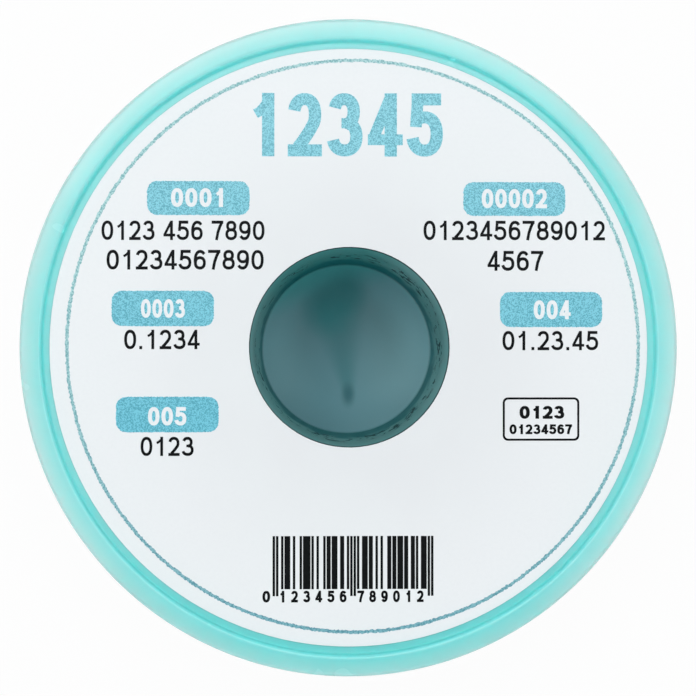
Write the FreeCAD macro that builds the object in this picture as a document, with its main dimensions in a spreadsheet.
# A small reel of flux-cored solder wire, lying on its plain side with the label facing up.
# The origin is the middle of the face that it rests on, and +Z runs along the reel's axis.
import FreeCAD, Part
import math
import os
import Sketcher

doc = FreeCAD.newDocument("SolderReel")

# Driving sizes, in millimetres unless the name says otherwise.
driving_sizes = {
    "flange_diameter": 65.4,
    "reel_width": 24.0,
    "web_thickness": 1.6,
    "rim_width": 2.1,
    "rim_edge_bevel": 0.4,
    "rim_guide_bevel": 0.7,
    "tail_cover": 0.2,
    "bore_diameter": 20.0,
    "hub_wall": 2.0,
    "lap_length": 3.0,
    "lap_clearance": 0.05,
    "seam_gap": 0.06,
    "snap_ridge_height": 0.15,
    "snap_ridge_width": 0.8,
    "snap_ridge_inset": 0.5,
    "gate_diameter": 2.2,
    "gate_depth": 0.3,
    "gate_land": 4.5,
    "gate_count": 3,
    "hole_clearance": 1.2,
    "hole_land": 0.3,
    "hole_edge_bevel": 0.25,
    "start_hole_angle_deg": 70.0,
    "end_hole_angle_deg": 205.0,
    "label_margin": 0.75,
    "label_hole_clearance": 0.06,
    "label_thickness": 0.1,
    "wire_diameter": 0.8,
    "wire_length": 32600.0,
    "winding_gap": 0.05,
    "flux_core_diameter": 0.35,
    "flux_core_clearance": 0.01,
    "flux_core_depth": 2.0,
    "tail_clearance": 0.05,
    "start_tail_length": 9.0,
    "free_tail_length": 8.0,
}

sheet = doc.addObject("Spreadsheet::Sheet", "Sizes")
for row, (alias, number) in enumerate(driving_sizes.items(), start=1):
    sheet.set("A%d" % row, alias)
    sheet.set("B%d" % row, str(number))
    sheet.setAlias("B%d" % row, alias)
doc.recompute()


class Size:
    """A size that carries its value and the expression that works it out from the sheet."""

    def __init__(self, text, value):
        self.text = text
        self.value = value

    def joined(self, sign, other, value):
        return Size("(%s %s %s)" % (self.text, sign, as_size(other).text), value)

    def __add__(self, other):
        return self.joined("+", other, self.value + as_size(other).value)

    def __sub__(self, other):
        return self.joined("-", other, self.value - as_size(other).value)

    def __mul__(self, other):
        return self.joined("*", other, self.value * as_size(other).value)

    def __truediv__(self, other):
        return self.joined("/", other, self.value / as_size(other).value)


def as_size(number):
    return number if isinstance(number, Size) else Size(repr(number), number)


def size(alias):
    return Size("Sizes." + alias, float(getattr(sheet, alias)))


def smaller(one, other):
    return Size("min(%s; %s)" % (one.text, other.text), min(one.value, other.value))


zero = Size("0", 0.0)
on_axis = (zero, zero)

# The mouldings. Each half is drawn in its own frame, with the face of its rim at height zero.
flange_radius = size("flange_diameter") / 2
recess_radius = flange_radius - size("rim_width")
recess_depth = size("wire_diameter") + size("tail_cover")
rim_thickness = size("web_thickness") + recess_depth
bore_radius = size("bore_diameter") / 2
hub_radius = bore_radius + size("hub_wall")

# The lap joint at the middle of the hub: a spigot of half the wall with a ridge round it, which
# snaps into a groove in the socket of the other half.
spigot_radius = bore_radius + size("hub_wall") / 2
socket_radius = spigot_radius + size("lap_clearance")
lap_start = size("reel_width") / 2 - size("lap_length") / 2
lap_end = size("reel_width") / 2 + size("lap_length") / 2 - size("seam_gap")
ridge_high = lap_end - size("snap_ridge_inset")
ridge_middle = ridge_high - size("snap_ridge_width") / 2
ridge_low = ridge_high - size("snap_ridge_width")

# The two wire holes in the plain side, one beside the hub and one between winding and rim.
wire_radius = size("wire_diameter") / 2
hole_radius = wire_radius + size("hole_clearance") / 2
start_hole_distance = hub_radius + size("hole_land") + hole_radius

# The space for the winding, and how the wire fills it: each layer nests in the one below it,
# so the layers hold a full row and a row of one turn less by turns.
winding_bottom = rim_thickness + size("winding_gap")
winding_width = size("reel_width") - winding_bottom * 2
winding_inner = hub_radius + size("winding_gap")
full_row = int(winding_width.value / size("wire_diameter").value)
turn_pitch = winding_width / full_row
layer_rise = math.sqrt(size("wire_diameter").value ** 2 - (turn_pitch.value / 2) ** 2)
full_layers = 0
wire_left = size("wire_length").value
layer_radius = winding_inner.value + wire_radius.value
while wire_left > (full_row - full_layers % 2) * 2 * math.pi * layer_radius:
    wire_left -= (full_row - full_layers % 2) * 2 * math.pi * layer_radius
    layer_radius += layer_rise
    full_layers += 1
last_turns = math.ceil(wire_left / (2 * math.pi * layer_radius))
last_radius = layer_radius + wire_radius.value
full_radius = last_radius - layer_rise
last_bottom = size("reel_width").value - winding_bottom.value - (last_turns + 0.5) * turn_pitch.value

end_hole_distance = (full_radius + wire_radius.value * 2 + recess_radius.value) / 2


def bind(owner, place, length):
    owner.setExpression(place, length.text)


def origin_plane(body, role):
    return next(f for f in body.Origin.OriginFeatures if f.Role == role)


def new_body(name):
    body = doc.addObject("PartDesign::Body", name)
    body.Label = name
    return body


def new_sketch(body, name, role, height=zero):
    sketch = body.newObject("Sketcher::SketchObject", name)
    sketch.AttachmentSupport = [(origin_plane(body, role), "")]
    sketch.MapMode = "FlatFace"
    bind(sketch, "AttachmentOffset.Base.z", height)
    return sketch


def fix_point(sketch, geometry, end, across, up):
    """Holds a point at its distances from the sketch's origin, or on the axis where one is zero."""
    for kind, distance, axis in (("DistanceX", across, -2), ("DistanceY", up, -1)):
        if distance is zero:
            sketch.addConstraint(Sketcher.Constraint("PointOnObject", geometry, end, axis))
        else:
            rule = Sketcher.Constraint(kind, -1, 1, geometry, end, distance.value)
            bind(sketch, "Constraints[%d]" % sketch.addConstraint(rule), distance)


def draw_polygon(sketch, corners):
    points = [FreeCAD.Vector(across.value, up.value, 0) for across, up in corners]
    for point, following in zip(points, points[1:] + points[:1]):
        sketch.addGeometry(Part.LineSegment(point, following), False)
    for index in range(len(points)):
        before = (index - 1) % len(points)
        sketch.addConstraint(Sketcher.Constraint("Coincident", before, 2, index, 1))
    for index, (across, up) in enumerate(corners):
        fix_point(sketch, index, 1, across, up)


def draw_circle(sketch, radius, across=zero, up=zero):
    centre = FreeCAD.Vector(across.value, up.value, 0)
    outline = Part.Circle(centre, FreeCAD.Vector(0, 0, 1), radius.value)
    index = sketch.addGeometry(outline, False)
    fix_point(sketch, index, 3, across, up)
    rule = Sketcher.Constraint("Radius", index, radius.value)
    bind(sketch, "Constraints[%d]" % sketch.addConstraint(rule), radius)


def polar(distance, angle_alias):
    """The two sizes that place a point at a distance from the axis, at an angle from the sheet."""
    distance = as_size(distance)
    angle = size(angle_alias)
    across = distance.value * math.cos(math.radians(angle.value))
    up = distance.value * math.sin(math.radians(angle.value))
    return (
        Size("(%s * cos(%s * 1deg))" % (distance.text, angle.text), across),
        Size("(%s * sin(%s * 1deg))" % (distance.text, angle.text), up),
    )


def revolve(body, name, corners):
    """Turns an outline of distances from the axis and heights about the Z axis."""
    sketch = new_sketch(body, name + "Outline", "XZ_Plane")
    draw_polygon(sketch, corners)
    feature = body.newObject("PartDesign::Revolution", name)
    feature.Profile = sketch
    feature.ReferenceAxis = (sketch, ["V_Axis"])
    feature.Angle = 360
    doc.recompute()
    return feature


def cut(body, name, sketch, depth=None):
    """Pockets a sketch that lies below the material, to a depth or right through."""
    before = body.Shape.Volume
    feature = body.newObject("PartDesign::Pocket", name)
    feature.Profile = sketch
    feature.Reversed = True
    if depth is None:
        feature.Type = "ThroughAll"
    else:
        bind(feature, "Length", depth)
    doc.recompute()
    if not body.Shape.Volume < before - 1e-3:
        raise RuntimeError(name + " cuts nothing")
    return feature


def is_same_circle(curve, radius, centre):
    if not isinstance(curve, Part.Circle):
        return False
    return curve.Center.isEqual(centre, 1e-4) and abs(curve.Radius - radius) < 1e-4


def bevel(body, name, amount, rings):
    """Chamfers the circular edges that have the given radii, heights and centres."""
    base = body.Tip
    edges = []
    for number, edge in enumerate(base.Shape.Edges, start=1):
        for radius, height, (across, up) in rings:
            centre = FreeCAD.Vector(across.value, up.value, height.value)
            if is_same_circle(edge.Curve, radius.value, centre):
                edges.append("Edge%d" % number)
    feature = body.newObject("PartDesign::Chamfer", name)
    feature.Base = (base, edges)
    bind(feature, "Size", amount)
    doc.recompute()
    return feature


def moulded_half(name, is_spigot):
    """A flange with a raised rim, and its half of the hub with the spigot or the socket."""
    body = new_body(name)
    outline = [
        (bore_radius, recess_depth),
        (recess_radius, recess_depth),
        (recess_radius, zero),
        (flange_radius, zero),
        (flange_radius, rim_thickness),
        (hub_radius, rim_thickness),
    ]
    if is_spigot:
        outline += [
            (hub_radius, lap_start),
            (spigot_radius, lap_start),
            (spigot_radius, ridge_low),
            (spigot_radius + size("snap_ridge_height"), ridge_middle),
            (spigot_radius, ridge_high),
            (spigot_radius, lap_end),
            (bore_radius, lap_end),
        ]
    else:
        outline += [
            (hub_radius, lap_end),
            (socket_radius, lap_end),
            (socket_radius, size("reel_width") - ridge_low),
            (socket_radius + size("snap_ridge_height"), size("reel_width") - ridge_middle),
            (socket_radius, size("reel_width") - ridge_high),
            (socket_radius, lap_start),
            (bore_radius, lap_start),
        ]
    revolve(body, name + "_moulding", outline)
    edge = smaller(size("rim_edge_bevel"), rim_thickness * 0.4)
    guide = smaller(size("rim_guide_bevel"), rim_thickness * 0.5)
    bevel(body, name + "_rim_edge", edge, [(flange_radius, zero, on_axis)])
    bevel(body, name + "_rim_guide", guide, [(flange_radius, rim_thickness, on_axis)])
    add_gate_dimples(body, name)
    return body


def add_gate_dimples(body, name):
    """The shallow dimples round the hub, where the mould fed the plastic in."""
    sketch = new_sketch(body, name + "_gate", "XY_Plane", recess_depth)
    draw_circle(sketch, size("gate_diameter") / 2, zero, hub_radius + size("gate_land"))
    dimple = cut(body, name + "_gate_dimple", sketch, size("gate_depth"))
    pattern = body.newObject("PartDesign::PolarPattern", name + "_gate_dimples")
    pattern.Originals = [dimple]
    pattern.Axis = (sketch, ["N_Axis"])
    pattern.Angle = 360
    bind(pattern, "Occurrences", size("gate_count"))
    body.Tip = pattern
    doc.recompute()


def add_wire_holes(body):
    """The start hole beside the hub and the hole near the rim that holds the free end."""
    places = [
        polar(start_hole_distance, "start_hole_angle_deg"),
        polar(end_hole_distance, "end_hole_angle_deg"),
    ]
    sketch = new_sketch(body, "wire_holes", "XY_Plane")
    for across, up in places:
        draw_circle(sketch, hole_radius, across, up)
    cut(body, "wire_hole_cut", sketch)
    rings = [(hole_radius, recess_depth, place) for place in places]
    rings.append((hole_radius, rim_thickness, places[1]))
    bevel(body, "wire_hole_edges", size("hole_edge_bevel"), rings)


def front_label():
    """The paper disc that lies in the upper recess."""
    body = new_body("front_label")
    sketch = new_sketch(body, "label_outline", "XY_Plane", size("reel_width") - recess_depth)
    draw_circle(sketch, recess_radius - size("label_margin"))
    draw_circle(sketch, bore_radius + size("label_hole_clearance") / 2)
    pad = body.newObject("PartDesign::Pad", "label_paper")
    pad.Profile = sketch
    bind(pad, "Length", size("label_thickness"))
    doc.recompute()
    return body


def solder_winding():
    """The wound layers as one solid: the full layers, and the last one that covers part of them."""
    body = new_body("solder_winding")
    top = size("reel_width") - winding_bottom
    step = top - turn_pitch * (last_turns + 0.5)
    full = as_size(full_radius)
    last = as_size(last_radius)
    revolve(body, "winding_layers", [
        (winding_inner, winding_bottom),
        (full, winding_bottom),
        (full, step),
        (last, step),
        (last, top),
        (winding_inner, top),
    ])
    return body


def bent_path(points, radii):
    """Straight runs through the points, joined by tangent arcs of the given radii."""
    edges = []
    here = points[0]
    for before, corner, after, radius in zip(points, points[1:], points[2:], radii):
        back = (before - corner).normalize()
        on = (after - corner).normalize()
        half_turn = (math.pi - back.getAngle(on)) / 2
        reach = radius * math.tan(half_turn)
        arc_start = corner + back * reach
        arc_end = corner + on * reach
        middle = (back + on).normalize()
        arc_middle = corner + middle * (radius / math.cos(half_turn) - radius)
        edges.append(Part.LineSegment(here, arc_start).toShape())
        edges.append(Part.Arc(arc_start, arc_middle, arc_end).toShape())
        here = arc_end
    edges.append(Part.LineSegment(here, points[-1]).toShape())
    return edges


def swept_rod(path, radius):
    start = path.OrderedEdges[0]
    direction = start.tangentAt(start.FirstParameter)
    section = Part.Wire([Part.makeCircle(radius, path.OrderedVertexes[0].Point, direction)])
    rod = path.makePipeShell([section], True, True)
    expected = math.pi * radius ** 2 * path.Length
    if abs(rod.Volume - expected) > 0.01 * expected:
        raise RuntimeError("a wire end has lost its section along its path")
    return rod


def add_solid(name, shape):
    feature = doc.addObject("Part::Feature", name)
    feature.Label = name
    feature.Shape = shape
    feature.Placement = FreeCAD.Placement()
    return feature


def wire_end(name, points, bends):
    """A loose end of the wire, from the winding to its cut face, and the flux core that shows there."""
    path = Part.Wire(bent_path(points, bends))
    inward = (points[-2] - points[-1]).normalize()
    depth = size("flux_core_depth").value
    core_radius = size("flux_core_diameter").value / 2
    core_space = Part.makeCylinder(core_radius + size("flux_core_clearance").value, depth, points[-1], inward)
    core = Part.makeCylinder(core_radius, depth, points[-1], inward)
    return [
        add_solid(name, swept_rod(path, wire_radius.value).cut(core_space)),
        add_solid(name + "_flux", core),
    ]


def around(distance, angle, height):
    return FreeCAD.Vector(distance * math.cos(angle), distance * math.sin(angle), height)


tail_height = recess_depth.value - size("tail_clearance").value - wire_radius.value
tail_bend = size("wire_diameter").value


def start_tail():
    """The start of the wire: from the first turn down through its hole and along the lower recess."""
    angle = math.radians(size("start_hole_angle_deg").value)
    below_hole = around(start_hole_distance.value, angle, tail_height)
    backward = FreeCAD.Vector(math.sin(angle), -math.cos(angle), 0)
    points = [
        around(start_hole_distance.value, angle, winding_bottom.value),
        below_hole,
        below_hole + backward * size("start_tail_length").value,
    ]
    return wire_end("start_tail", points, [tail_bend])


def free_end():
    """The end of the wire: straight off the winding, down through its hole and hooked back under."""
    ride = full_radius + wire_radius.value + size("tail_clearance").value
    ride_height = last_bottom - wire_radius.value - size("tail_clearance").value
    hole_angle = math.radians(size("end_hole_angle_deg").value)
    leave_angle = hole_angle - math.acos(ride / end_hole_distance)
    onward = FreeCAD.Vector(-math.sin(leave_angle), math.cos(leave_angle), 0)
    below_hole = around(end_hole_distance, hole_angle, tail_height)
    points = [
        around(ride, leave_angle, ride_height),
        around(end_hole_distance, hole_angle, rim_thickness.value + tail_bend * 1.5),
        below_hole,
        below_hole - onward * size("free_tail_length").value,
    ]
    return wire_end("free_end", points, [tail_bend * 1.2, tail_bend])


plain_side_half = moulded_half("plain_side_half", is_spigot=True)
add_wire_holes(plain_side_half)
label_side_half = moulded_half("label_side_half", is_spigot=False)
label_side_half.Placement.Rotation = FreeCAD.Rotation(FreeCAD.Vector(1, 0, 0), 180)
bind(label_side_half, "Placement.Base.z", size("reel_width"))

parts = [plain_side_half, label_side_half, front_label(), solder_winding()]
parts += start_tail() + free_end()
doc.recompute()

for item in doc.Objects:
    if "Invalid" in item.State or "Error" in item.State:
        raise RuntimeError("%s is %s" % (item.Name, item.State))
for part in parts:
    if part.Shape.isNull() or not part.Shape.isValid():
        raise RuntimeError(part.Label + " has no valid shape")

os.makedirs("parts", exist_ok=True)
for part in parts:
    part.Shape.exportStep("parts/%s.step" % part.Label)
    print("%-22s %9.2f mm3" % (part.Label, part.Shape.Volume))
print("%d full layers, %d turns in the last, outer radius %.2f" % (full_layers, last_turns, last_radius))
